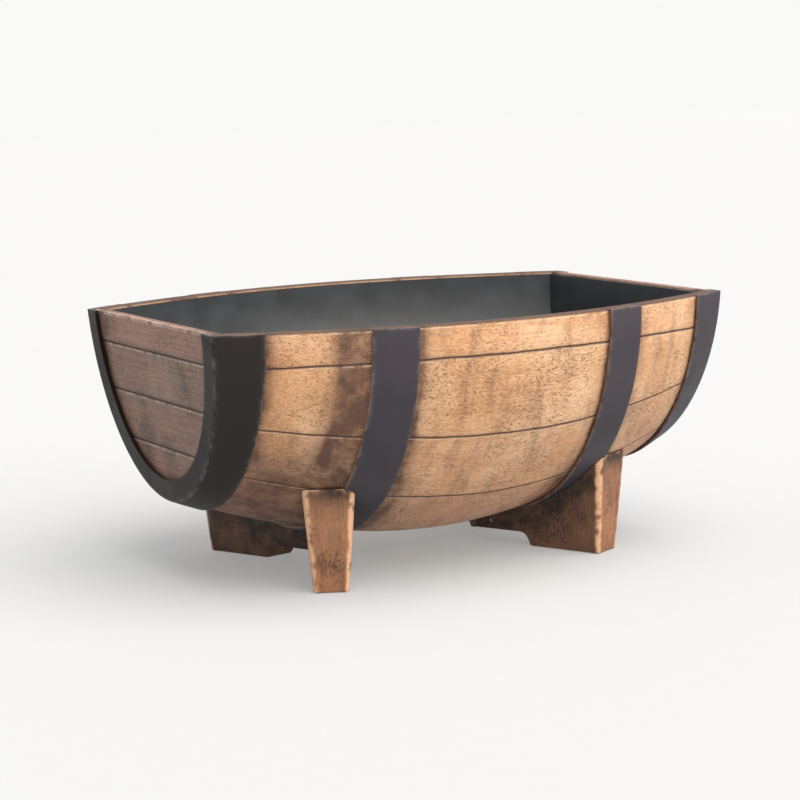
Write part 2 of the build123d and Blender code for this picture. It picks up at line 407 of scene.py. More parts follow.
@dataclass(frozen=True)
class Drains:
    """Row of round holes bored up through the lowest line of the barrel, sizes in metres."""

    diameter: float = 12 * MM
    spacing: float = 60 * MM
    count: int = 3
    cutter_height: float = 200 * MM

    def bore(self, piece: Object, material: Material) -> None:
        """Bores the holes through a piece."""
        values = {
            "Radius": self.diameter / 2, "Height": self.cutter_height,
            "Spacing": self.spacing, "Count": self.count, "Material": material,
        }
        run_tree(piece, self.tree(), values)

    def tree(self) -> NodeTree:
        """Tree that sets cutters out along a line and takes them from the piece."""
        sockets = {name: "NodeSocketFloat" for name in ("Radius", "Height", "Spacing")}
        sockets.update({"Count": "NodeSocketInt", "Material": "NodeSocketMaterial"})
        tree = new_tree("drain_holes", sockets)
        given = add(tree, "NodeGroupInput").outputs
        gaps = add(tree, "ShaderNodeMath", {0: given["Count"], 1: 1.0}, operation="SUBTRACT")
        span = add(tree, "ShaderNodeMath", {0: gaps, 1: given["Spacing"]}, operation="MULTIPLY")
        first = add(tree, "ShaderNodeMath", {0: span, 1: -0.5}, operation="MULTIPLY")
        start = add(tree, "ShaderNodeCombineXYZ", {0: first})
        pitch = add(tree, "ShaderNodeCombineXYZ", {0: given["Spacing"]})
        line = add(
            tree, "GeometryNodeMeshLine", {"Count": given["Count"], "Start Location": start, "Offset": pitch}
        )
        cutter = add(
            tree, "GeometryNodeMeshCylinder",
            {"Vertices": 48, "Radius": given["Radius"], "Depth": given["Height"]},
        )
        row = add(tree, "GeometryNodeInstanceOnPoints", {"Points": line, "Instance": cutter})
        cutters = add(tree, "GeometryNodeRealizeInstances", {"Geometry": row})
        bored = add(
            tree, "GeometryNodeMeshBoolean", {0: given["Geometry"], 1: cutters}, operation="DIFFERENCE"
        )
        return end_tree(tree, bored, given["Material"])


@dataclass(frozen=True)
class Finish:
    """A material whose colour is a base with layers laid over it in order."""

    name: str
    base: str

    def material(self) -> Material:
        """Material of this finish, built once."""
        if self.name in bpy.data.materials:
            return bpy.data.materials[self.name]
        made = bpy.data.materials.new(self.name)
        made.use_nodes = True
        tree = made.node_tree
        tree.nodes.clear()
        layers, inputs = self.pattern(tree, add(tree, "ShaderNodeTexCoord").outputs["Object"])
        colour = linear(self.base)
        for share, code in layers:
            mixed = add(tree, "ShaderNodeMix", {0: share, 6: colour, 7: linear(code)}, data_type="RGBA")
            colour = mixed.outputs[2]
        surface = add(tree, "ShaderNodeBsdfPrincipled", {"Base Color": colour, **inputs})
        add(tree, "ShaderNodeOutputMaterial", {"Surface": surface})
        return made

    def pattern(self, tree: NodeTree, place: NodeSocket) -> tuple[list, dict]:
        """What a finish adds to its base.

        Args:
            tree: the material's tree.
            place: Object coordinates.

        Returns:
            The layers, each a share from zero to one and a colour, and the shader's other inputs.
        """
        raise NotImplementedError


@dataclass(frozen=True)
class StainedWood(Finish):
    """Pine, stained and antiqued: warm streaks, smoky wiped-on glaze, dark seams, rubbed edges, painted shade
    and highlights.
    """

    pale: str
    rose: str
    dark: str
    glaze_and_shade: str
    pit: str
    worn: str
    seam: str = "#3A2318"
    grain: Grain = Grain.ALONG
    roughness: tuple[float, float] = (0.46, 0.66)
    smudge: float = 0.5
    streak: float = 0.45
    specks: float = 0.68
    glaze: float = 0.5
    seam_share: float = 0.9

    def pattern(self, tree: NodeTree, place: NodeSocket) -> tuple[list, dict]:
        """Layers of stains, glaze, painted shade, rubbed edges and painted highlight over the wood, which is
        satin along its fibres.
        """
        tone_and_shade, stain_and_shade, relief, wear_and_highlight, seam = (
            add(tree, "ShaderNodeAttribute", attribute_name=key).outputs["Fac"]
            for key in ("tone_and_shade", "stain_and_shade", "relief", "wear_and_highlight", "seam")
        )

        # Warm and pale clouds are about 90 mm across, the laid-on glaze and painted shade are ragged at 26
        # mm, fine pits lie in
        #         # patches of 67 mm, and the pale edges, rubbed back and painted highlight alike, vary every
        #         11 mm or so
        cloud, ragged, patch, rubbed = (
            add(
                tree, "ShaderNodeTexNoise",
                {"Vector": place, "Scale": scale, "Detail": detail, "Roughness": fine},
            )
            for scale, detail, fine in (
                (11.0, 4.0, 0.6), (38.0, 5.0, 0.62), (15.0, 3.0, 0.5), (90.0, 4.0, 0.5),
            )
        )
        # Fibres are 3 mm wide, smudges of wiped glaze 13 mm and pores 0.8 mm, and the finest pits are drawn
        # 3.5 mm by 1.6 mm, coarser than real ones, so that they show
        streaks, smudges, specks, pores = (
            add(tree, "ShaderNodeTexNoise", {
                "Vector": add(
                    tree, "ShaderNodeMapping", {"Vector": place, "Scale": tuple(1 / part for part in size)}
                ),
                "Scale": scale, "Detail": detail, "Distortion": distortion,
            })
            for size, scale, detail, distortion in (
                (self.grain.size(110 * MM, 3 * MM), 1.0, 4.0, 0.4),
                ((13 * MM, 50 * MM, 50 * MM), 1.0, 3.0, 0.3),
                (self.grain.size(2.8 * MM, 1.3 * MM), 0.8, 2.0, 0.8),
                (self.grain.size(12 * MM, 0.8 * MM), 1.0, 3.0, 0.0),
            )
        )
        pale, streak, smudge, ragged, specks, patch, rubbed, rough = (
            add(tree, "ShaderNodeMapRange", {"Value": value, 1: low, 2: high, 3: first, 4: last})
            for value, low, high, first, last in (
                (cloud, 0.38, 0.66, 0.0, 1.0),
                (streaks, 0.48, 0.75, 0.0, self.streak),
                (smudges, 0.5, 0.8, 0.0, self.smudge),
                (ragged, 0.25, 0.68, 0.4, 1.2),
                (specks, 0.5, 0.66, 0.0, 1.0),
                (patch, 0.36, 0.6, 0.15, self.specks),
                (rubbed, 0.36, 0.6, 0.0, 1.0),
                (streaks, 0.3, 0.7, *self.roughness),
            )
        )

        # Glaze stays where it was laid on, painted shade with it, in the pits and in the joints; edges go
        # pale, rubbed back and painted highlight
        laid = add(tree, "ShaderNodeMath", {0: stain_and_shade, 1: ragged}, operation="MULTIPLY", use_clamp=True)
        specks = add(tree, "ShaderNodeMath", {0: specks, 1: patch}, operation="MULTIPLY")
        pitted = add(
            tree, "ShaderNodeMath", {0: relief, 1: self.glaze, 2: specks},
            operation="MULTIPLY_ADD", use_clamp=True,
        )
        worn = add(tree, "ShaderNodeMath", {0: wear_and_highlight, 1: rubbed}, operation="MULTIPLY", use_clamp=True)
        joint = add(tree, "ShaderNodeMath", {0: seam, 1: self.seam_share}, operation="MULTIPLY")
        height = add(tree, "ShaderNodeMath", {0: specks, 1: -1.4, 2: pores}, operation="MULTIPLY_ADD")
        bump = add(tree, "ShaderNodeBump", {"Height": height, "Strength": 0.8, "Distance": 0.4 * MM})
        layers = [
            (pale, self.pale), (tone_and_shade, self.rose), (streak, self.dark), (smudge, self.glaze_and_shade),
            (laid, self.glaze_and_shade), (pitted, self.pit), (worn, self.worn), (joint, self.seam),
        ]
        return layers, {"Roughness": rough, "Normal": bump}


@dataclass(frozen=True)
class PaintedSteel(Finish):
    """Rolled steel in matt charcoal paint: soft mottling, edges rubbed pale, brown primer at the sides,
    painted shade to the left.
    """

    cool: str
    # Colour of the painted shade that darkens the hoops towards the left end
    glaze_and_shade: str
    worn: str
    primer: str
    roughness: tuple[float, float] = (0.5, 0.64)
    specular: float = 0.3

    def pattern(self, tree: NodeTree, place: NodeSocket) -> tuple[list, dict]:
        """Layers of mottling, painted shade, primer and rubbing over the paint, which is sprayed and matt."""
        tone_and_shade, side, wear_and_highlight = (
            add(tree, "ShaderNodeAttribute", attribute_name=key).outputs["Fac"]
            for key in ("tone_and_shade", "side", "wear_and_highlight")
        )

        # Mottling about 60 mm across; primer and rubbed edges are ragged at 14 mm; the spray's peel is 1 mm
        cloud = add(
            tree, "ShaderNodeTexNoise", {"Vector": place, "Scale": 16.0, "Detail": 5.0, "Roughness": 0.6}
        )
        mottled = add(tree, "ShaderNodeMapRange", {"Value": cloud, 1: 0.35, 2: 0.65})
        ragged = add(
            tree, "ShaderNodeTexNoise", {"Vector": place, "Scale": 70.0, "Detail": 5.0, "Roughness": 0.65}
        )
        brown = add(tree, "ShaderNodeMapRange", {"Value": ragged, 1: 0.3, 2: 0.55, 3: 0.2, 4: 1.0})
        primed = add(tree, "ShaderNodeMath", {0: side, 1: brown}, operation="MULTIPLY", use_clamp=True)
        rubbed = add(tree, "ShaderNodeMapRange", {"Value": ragged, 1: 0.4, 2: 0.75, 4: 0.8})
        worn = add(tree, "ShaderNodeMath", {0: wear_and_highlight, 1: rubbed}, operation="MULTIPLY", use_clamp=True)
        low, high = self.roughness
        rough = add(tree, "ShaderNodeMapRange", {"Value": cloud, 1: 0.3, 2: 0.7, 3: low, 4: high})
        peel = add(tree, "ShaderNodeTexNoise", {"Vector": place, "Scale": 900.0, "Detail": 2.0})
        bump = add(tree, "ShaderNodeBump", {"Height": peel, "Strength": 0.2, "Distance": 0.2 * MM})
        # The tone_and_shade share is painted shade, darkening the hoops towards the left end
        layers = [(mottled, self.cool), (tone_and_shade, self.glaze_and_shade), (primed, self.primer), (worn, self.worn)]
        return layers, {"Roughness": rough, "Specular IOR Level": self.specular, "Normal": bump}


@dataclass(frozen=True)
class PlainFinish(Finish):
    """One even finish with a faint mottling and a fine grain, for plastic, beech and zinc."""

    shade: str
    roughness: tuple[float, float]
    metallic: float = 0.0
    grain_size: tuple[float, float, float] = (30 * MM, 30 * MM, 30 * MM)
    bump_size: float = 1.2 * MM

    def pattern(self, tree: NodeTree, place: NodeSocket) -> tuple[list, dict]:
        """One layer of mottling, and a roughness that goes with it."""
        grain = add(
            tree, "ShaderNodeMapping", {"Vector": place, "Scale": tuple(1 / part for part in self.grain_size)}
        )
        cloud = add(tree, "ShaderNodeTexNoise", {"Vector": grain, "Scale": 1.0, "Detail": 4.0})
        mottled = add(tree, "ShaderNodeMapRange", {"Value": cloud, 1: 0.3, 2: 0.7})
        low, high = self.roughness
        rough = add(tree, "ShaderNodeMapRange", {"Value": cloud, 1: 0.3, 2: 0.7, 3: low, 4: high})
        fine = add(tree, "ShaderNodeTexNoise", {"Vector": place, "Scale": 1 / self.bump_size, "Detail": 2.0})
        bump = add(tree, "ShaderNodeBump", {"Height": fine, "Strength": 0.15, "Distance": 0.2 * MM})
        return [(mottled, self.shade)], {"Roughness": rough, "Metallic": self.metallic, "Normal": bump}


# Each wood's glaze_and_shade colour serves both its wiped glaze and the painted shade laid on through
# stain_and_shade
STAVE_WOOD = StainedWood(
    "stained_stave_pine", base="#CA986B", pale="#E0B78F", rose="#B78469", dark="#9A6846",
    glaze_and_shade="#563728", pit="#66442F", worn="#E9C9A6",
)
# The head boards are a greyer pine whose colours are darkened further as painted shade
HEAD_WOOD_WITH_SHADE = StainedWood(
    "stained_head_pine_with_painted_shade", base="#90705C", pale="#A08470", rose="#966D5A", dark="#705242",
    glaze_and_shade="#3E2E25", pit="#3F2F27", worn="#D6C6B2", grain=Grain.ACROSS, smudge=1.0, streak=0.45,
)
CRADLE_WOOD = StainedWood(
    "stained_cradle_pine", base="#8E5E3E", pale="#A87852", rose="#85573D", dark="#68412C",
    glaze_and_shade="#26170E", pit="#3A2419", worn="#CB9D78", grain=Grain.UPRIGHT, smudge=0.4,
    specks=0.45, glaze=0.8,
)
# Its glaze_and_shade colour is only painted shade on the hoops
HOOP_STEEL = PaintedSteel(
    "painted_hoop_steel", base="#3A343B", cool="#322F36", glaze_and_shade="#1B1512", worn="#7A7472", primer="#84604A",
)
LINER_PLASTIC = PlainFinish("charcoal_polypropylene", "#2A2C2E", "#33363A", (0.38, 0.5))
DOWEL_WOOD = PlainFinish(
    "plain_beech", "#D2B48A", "#C19F72", (0.5, 0.65), grain_size=(4 * MM, 4 * MM, 20 * MM),
)
SCREW_STEEL = PlainFinish("zinc_plated_steel", "#C9C8C4", "#B5B6B8", (0.3, 0.42), metallic=1.0)


def wave(place: Array, length: float, phase: float) -> Array:
    """Sine of a place along a piece, from a wave length and a phase in turns."""
    return np.sin((place / length + phase) * 2 * math.pi)


def near(distance: Array, reach: float) -> Array:
    """One where a distance is zero or less, falling off smoothly over about the reach."""
    return np.exp(-np.maximum(distance, 0) / reach)


@dataclass
class HoopPlaces:
    """Where the two hoops of the right half lie along the barrel, in metres, and the glaze and painted shade
    beside them.
    """

    inner_start: float
    inner_end: float
    end_start: float
    thickness: float = 3.7 * MM
    flange_thickness: float = 5 * MM
    flange_width: float = 23 * MM
    left_band: tuple[float, float] = (5 * MM, 30 * MM)
    right_band: tuple[float, float] = (1 * MM, 1 * MM)
    fade: float = 6 * MM
    # Reach of the painted shadow along each hoop edge, then where the painted shade low down lies
    contact_shade: float = 1.4 * MM
    low_shade_top: float = 175 * MM
    low_shade_drop: float = 60 * MM
    low_shade_start: float = 90 * MM
    low_shade_run: float = 50 * MM

    def antiquing_and_shade(self, points: Array) -> Array:
        """How dark the staves are made, from zero to one: glaze beside the hoops, weighted heavier to the
        left as painted shade, a painted shadow along each hoop edge, and painted shade low down, away from
        the middle.
        """
        x, _, z = points.T
        along = np.abs(x)
        inside, outside = (np.where(x < 0, *pair) for pair in zip(self.left_band, self.right_band))
        glaze = near(self.inner_start - along - inside, self.fade) * (along < self.inner_start)
        glaze = glaze + near(along - self.inner_end - outside, self.fade) * (along > self.inner_end)
        glaze = glaze + 0.7 * near(self.end_start - along - inside, self.fade) * (along < self.end_start)
        gaps = [along - self.inner_start, along - self.inner_end, along - self.end_start]
        # Painted shadow along both edges of every hoop
        painted_contact_shadow = near(np.min(np.abs(gaps), axis=0) - 0.5 * MM, self.contact_shade)
        # Painted shade low down, away from the middle and heavier to the left
        low = np.clip((self.low_shade_top - z) / self.low_shade_drop, 0, 1)
        low = low * np.clip((along - self.low_shade_start) / self.low_shade_run, 0, 1)
        low = low * np.clip(0.4 - 3 * x, 0.05, 1)
        # The glaze beside the hoops is weighted heavier to the left as painted shade
        return np.clip(glaze * np.clip(0.85 - 1.0 * x, 0, 1) + 0.9 * painted_contact_shadow + 1.0 * low, 0, 1)


@dataclass
class StaveWall:
    """The nine staves, each a block bent to the skin between two joint planes."""

    skin: BarrelSkin
    hoops: HoopPlaces
    thickness: float = 18 * MM
    rebated_thickness: float = 10 * MM
    head_inset: float = 17 * MM
    edge_radius: float = 1.3 * MM
    underside_step: float = 1.25
    # Where painted shade lies over the cradle legs, on the low staves
    leg_place: float = 133 * MM
    leg_half_width: float = 34 * MM
    leg_shade_top: float = 118 * MM
    leg_shade_drop: float = 30 * MM
    joints: tuple[float, ...] = (-1.7, 19.8, 42.9, 74.3)
    tones: dict[str, float] = field(
        default_factory=lambda: {"rim": 0.1, "upper": 0.0, "lower": 0.12, "bottom": 0.6, "keel": 0.7}
    )
    carving: Carving = Carving()
    drains: Drains = Drains()

    def border(self, number: int, station: Array) -> Array:
        """Angle of a joint at the back, counted from the rim, with the slight waver of a hand-cut edge."""
        if number == 0:
            return 0 * station
        waver = 0.3 * MM * wave(station, 131 * MM, 0.37 * number)
        waver = waver + 0.18 * MM * wave(station, 43 * MM, 0.61 * number)
        return self.skin.joint(station, self.joints[number - 1]) + waver / self.skin.mid_half_width

    def stave(self, name: str, first: int, last: int, front: bool, seed: int) -> Object:
        """One stave.

        Args:
            name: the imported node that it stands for.
            first: number of the joint above it, at the back, or zero for the rim.
            last: number of the joint below it; the same number is the keel's other joint at the front.
            front: whether the joints are those of the front.
            seed: number that shifts the carving.

        Returns:
            The finished piece.
        """
        def limits(station: Array) -> tuple[Array, Array]:
            if first == last:
                return self.border(first, station), math.pi - self.border(first, station)
            if front:
                return math.pi - self.border(last, station), math.pi - self.border(first, station)
            return self.border(first, station), self.border(last, station)

        ends = self.skin.half_length - self.hoops.flange_thickness
        start, stop = (float(limit[0]) for limit in limits(np.zeros(1)))
        turns = np.linspace(start, stop, 60)
        arc = self.skin.place(np.zeros(60), turns, np.zeros(60))
        height = float(np.linalg.norm(np.diff(arc, axis=0), axis=1).sum())
        low = np.array([-ends, 0, -self.thickness])
        high = np.array([ends, height, 0])
        step = CARVING_STEP * (self.underside_step if last == len(self.joints) else 1)
        points, quads = block(
            knots(-ends, ends, step, self.edge_radius),
            knots(0, height, step, self.edge_radius),
            knots(-self.thickness, 0, 4 * MM, self.edge_radius),
        )
        shaped = soften(points, low, high, self.edge_radius)
        station = shaped[:, 0]
        top, bottom = limits(station)
        share = shaped[:, 1] / height
        bench = self.skin.half_length - self.head_inset
        wall = np.where(np.abs(station) > bench, self.rebated_thickness, self.thickness)
        placed = self.skin.place(station, top + (bottom - top) * share, shaped[:, 2] * wall / self.thickness)

        to_joint = np.minimum(shaped[:, 1], height - shaped[:, 1])
        to_upper = height - shaped[:, 1] if front else shaped[:, 1]
        outer = np.clip(1 + shaped[:, 2] / (1.5 * MM), 0, 1)
        # Painted shade on the low staves over the cradle legs, where the legs meet the barrel
        low_place = np.clip((self.leg_shade_top - placed[:, 2]) / self.leg_shade_drop, 0, 1)
        from_leg = np.abs(np.abs(placed[:, 0]) - self.leg_place) - self.leg_half_width
        leg_shade = near(from_leg, 9 * MM) * low_place
        values = {
            "carved": outer * np.clip(to_joint / (1.2 * MM), 0.15, 1),
            # Glaze and painted shade beside the hoops, painted shade over the legs, and darker wood beside
            # the joints
            "stain_and_shade": np.clip(
                self.hoops.antiquing_and_shade(placed) + 0.8 * leg_shade
                + 0.3 * near(to_joint - 0.7 * MM, 2.0 * MM), 0, 1
            ),
            "seam": near(to_joint - 0.7 * MM, 0.45 * MM),
            # A pale line along each stave's upper edge, partly rubbed and partly painted highlight where
            # light from above falls
            "wear_and_highlight": 0.55 * np.exp(-((to_upper - 2.4 * MM) / (0.9 * MM)) ** 2) * outer,
            "tone_and_shade": self.tones[name.split("_")[0]],
        }
        piece = make_piece("carved_" + name, placed, quads, values)
        self.carving.press(piece, STAVE_WOOD.material(), seed)
        if name == "keel_stave":
            self.drains.bore(piece, STAVE_WOOD.material())
        return finish_piece(piece, "stave_wood", name)

    def build(self) -> None:
        """Makes every stave."""
        for number, name in enumerate(("rim", "upper", "lower", "bottom")):
            self.stave(f"{name}_stave_back", number, number + 1, False, 2 * number + 1)
            self.stave(f"{name}_stave_front", number, number + 1, True, 2 * number + 2)
        joint_count = len(self.joints)
        self.stave("keel_stave", joint_count, joint_count, False, 11)


def finish_piece(piece: Object, slot: str, *nodes: str) -> Object:
    """Puts a piece on the planter's body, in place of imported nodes, and reports it."""
    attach(piece, BODY)
    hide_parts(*nodes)
    LOG.info("%s: %d faces", piece.name, len(piece.data.polygons))
    return piece


@dataclass
class Heads:
    """Four boards to each end, flat, set in behind the flanges of the end hoops."""

    skin: BarrelSkin
    hoops: HoopPlaces
    thickness: float = 12 * MM
    top_height: float = 32 * MM
    board_height: float = 49.4 * MM
    growth: float = -10 * MM
    edge_radius: float = 1.0 * MM
    lowest_gap: float = 0.3 * MM
    carving: Carving = Carving(
        depth=0.35 * MM, pits=0.35, curls=0.5, grain=Grain.ACROSS, fibre_length=45 * MM,
    )

    def board(self, side: int, name: str, top: float, bottom: float, seed: int) -> Object:
        """One board between two depths, at the right for side 1 and at the left for side -1."""
        lean = math.cos(math.atan(self.skin.end_slope))
        face = self.skin.half_length - self.hoops.flange_thickness / lean
        reach = float(self.skin.half_width_at(face, self.skin.end_slope, np.array([top]), self.growth)[0])
        low = np.array([-reach, top, -self.thickness])
        high = np.array([reach, bottom, 0])
        points, quads = block(
            knots(-reach, reach, 1.1 * CARVING_STEP, self.edge_radius),
            knots(top, bottom, 1.1 * CARVING_STEP, self.edge_radius),
            knots(-self.thickness, 0, 4 * MM, self.edge_radius),
        )
        shaped = soften(points, low, high, self.edge_radius)
        down = shaped[:, 1]
        width = self.skin.half_width_at(face, self.skin.end_slope, down, self.growth)
        x = face - self.skin.end_slope * down + shaped[:, 2] / lean
        placed = np.stack([side * x, shaped[:, 0] / reach * width, self.skin.rim - down], -1)

        to_joint = np.minimum(down - top, bottom - down)
        to_side = width - np.abs(placed[:, 1]) - 9.3 * MM
        outer = np.clip(1 + shaped[:, 2] / (1.5 * MM), 0, 1)
        values = {
            "carved": outer * np.clip(to_joint / (1.2 * MM), 0.15, 1),
            # Dark joints, painted shade where the boards run in under the end hoop's flange, and every board
            # below the top one darker
            "stain_and_shade": np.clip(
                0.3 * near(to_joint - 0.6 * MM, 2.0 * MM) + 0.85 * near(to_side, 7 * MM)
                + 0.3 * (top > 0), 0, 1
            ),
            "seam": near(to_joint - 0.7 * MM, 0.5 * MM) * (down > 1.2 * MM),
            # Pale lines along the top edge of each board and of the head: partly rubbed, partly painted
            # highlight where light from above falls
            "wear_and_highlight": (
                0.6 * np.exp(-((down - top - 2.0 * MM) / (1.0 * MM)) ** 2)
                + 0.6 * near(down, 1.2 * MM) * np.clip(1 + shaped[:, 2] / (4 * MM), 0, 1)
            ),
            "tone_and_shade": 0.25 + 0.25 * (seed % 3),
        }
        # The lattice is right-handed as across, down and inwards at the left end
        piece = make_piece("carved_" + name, placed, quads[:, ::-1] if side > 0 else quads, values)
        self.carving.press(piece, HEAD_WOOD_WITH_SHADE.material(), seed)
        return finish_piece(piece, "head_wood", name)

    def build(self) -> None:
        """Makes the eight boards."""
        lowest = self.skin.end_depth + self.growth - self.lowest_gap
        edges = [0.0] + [self.top_height + self.board_height * n for n in range(3)] + [lowest]
        for end, side in (("left", -1), ("right", 1)):
            for n, name in enumerate(("top", "upper", "lower", "bottom")):
                self.board(side, f"{end}_head_{name}_board", edges[n], edges[n + 1], 20 + 4 * (side + 1) + n)


@dataclass
class Hoops:
    """Four rolled hoops; those of the ends turn in over the ends of the staves."""

    skin: BarrelSkin
    places: HoopPlaces
    step: float = 2.2 * MM
    cap_radius: float = 0.6 * MM
    # Painted shade on the hoops starts this far left of the middle and deepens over this run
    painted_shade_start: float = 160 * MM
    painted_shade_run: float = 100 * MM
    carving: Carving = Carving(
        depth=0.16 * MM, pits=0.0, curls=0.25, fibre_length=14 * MM, fibre_width=9 * MM,
        curl_length=9 * MM, curl_width=6 * MM,
    )

    def roll(self, side: int, name: str, outline: Array, start: float, width: float, flanged: bool,
             seed: int) -> Object:
        """One hoop.

        Args:
            side: 1 for the right end and -1 for the left end.
            name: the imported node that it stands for.
            outline: its section, as distance from its inner edge and from the skin.
            start: x of its inner edge.
            width: its width at the rim.
            flanged: whether its far edge leans as the barrel's end does.
            seed: number that shifts its mottling.

        Returns:
            The finished piece.
        """
        # The outline runs clockwise, so its inside lies to the right of the way along it
        way = np.roll(outline, -1, axis=0) - np.roll(outline, 1, axis=0)
        inward = np.stack([way[:, 1], -way[:, 0]], -1)
        inward /= np.linalg.norm(inward, axis=1, keepdims=True)
        girth = math.pi * (self.skin.mid_half_width + self.skin.mid_depth) / 2
        turn_per_metre = math.pi / girth
        # Each end of the bar is eased: its first sections are drawn in by what the rounding leaves off
        turns = np.linspace(0, math.pi / 2, 4)[:-1]
        eased = [(self.cap_radius * (1 - math.cos(t)), self.cap_radius * (1 - math.sin(t))) for t in turns]
        middle = np.linspace(self.cap_radius, girth - self.cap_radius, round(girth / self.step))
        rings = eased + [(along, 0.0) for along in middle]
        rings += [(girth - along, inset) for along, inset in reversed(eased)]

        blend = np.clip((outline[:, 0] - 10 * MM) / max(width - 20 * MM, MM), 0, 1)
        blend = blend * blend * (3 - 2 * blend) if flanged else 0 * blend
        points, wear_and_highlight, sides = [], [], []
        outer = self.places.thickness
        to_edge = np.minimum(outline[:, 0], width - outline[:, 0])
        for along, inset in rings:
            section = outline + inward * inset
            angle = np.full(len(section), along * turn_per_metre)
            slope = blend * self.skin.end_slope
            points.append(self.skin.on_plane(start + section[:, 0], slope, angle, section[:, 1]))
            at_end = near(np.full(len(section), min(along, girth - along)), 1.2 * MM)
            at_edge = near(np.abs(outline[:, 1] - outer + 0.5 * MM) + to_edge - 1.0 * MM, 1.1 * MM)
            wear_and_highlight.append(np.maximum(at_edge, at_end))
            below = np.clip((outer - 0.3 * MM - outline[:, 1]) / (1.0 * MM), 0, 1)
            sides.append(below * (to_edge < 1.5 * MM))
        count = len(outline)
        faces = []
        last = (len(rings) - 1) * count
        for ring in range(0, last, count):
            for n in range(count):
                m = (n + 1) % count
                faces.append((ring + n, ring + m, ring + count + m, ring + count + n))
        faces.append(tuple(range(count)))
        faces.append(tuple(range(last, last + count))[::-1])
        placed = np.concatenate(points) * np.array([side, 1, 1])
        side_values = np.concatenate(sides)
        if flanged:
            side_values = side_values * (np.tile(outline[:, 0], len(rings)) < width / 2)
        values = {
            "carved": 1.0,
            "wear_and_highlight": np.concatenate(wear_and_highlight),
            "side": side_values,
            # Painted shade: the hoops darken towards the left end
            "tone_and_shade": np.clip((-placed[:, 0] - self.painted_shade_start) / self.painted_shade_run, 0, 1),
        }
        piece = make_piece("rolled_" + name, placed, faces, values)
        shell = bmesh.new()
        shell.from_mesh(piece.data)
        bmesh.ops.recalc_face_normals(shell, faces=shell.faces[:])
        shell.to_mesh(piece.data)
        shell.free()
        self.carving.press(piece, HOOP_STEEL.material(), seed)
        return finish_piece(piece, "hoop_steel", name)

    def build(self) -> None:
        """Makes the four hoops."""
        place = self.places
        outer = place.thickness
        inner_width = place.inner_end - place.inner_start
        end_width = self.skin.half_length - place.end_start
        plain = rounded_outline(
            [
                (0, 0, 0.4 * MM), (0, outer, 1.6 * MM),
                (inner_width, outer, 1.6 * MM), (inner_width, 0, 0.4 * MM),
            ],
            self.step,
        )
        turned_in = outer - place.flange_width
        neck = end_width - place.flange_thickness
        flanged = rounded_outline(
            [
                (0, 0, 0.4 * MM), (0, outer, 1.6 * MM), (end_width, outer, 2.4 * MM),
                (end_width, turned_in, 0.9 * MM), (neck, turned_in, 0.9 * MM), (neck, 0, 0.3 * MM),
            ],
            self.step,
        )
        for end, side in (("left", -1), ("right", 1)):
            self.roll(side, f"{end}_inner_hoop", plain, place.inner_start, inner_width, False, 41 + side)
            self.roll(side, f"{end}_end_hoop", flanged, place.end_start, end_width, True, 46 + side)


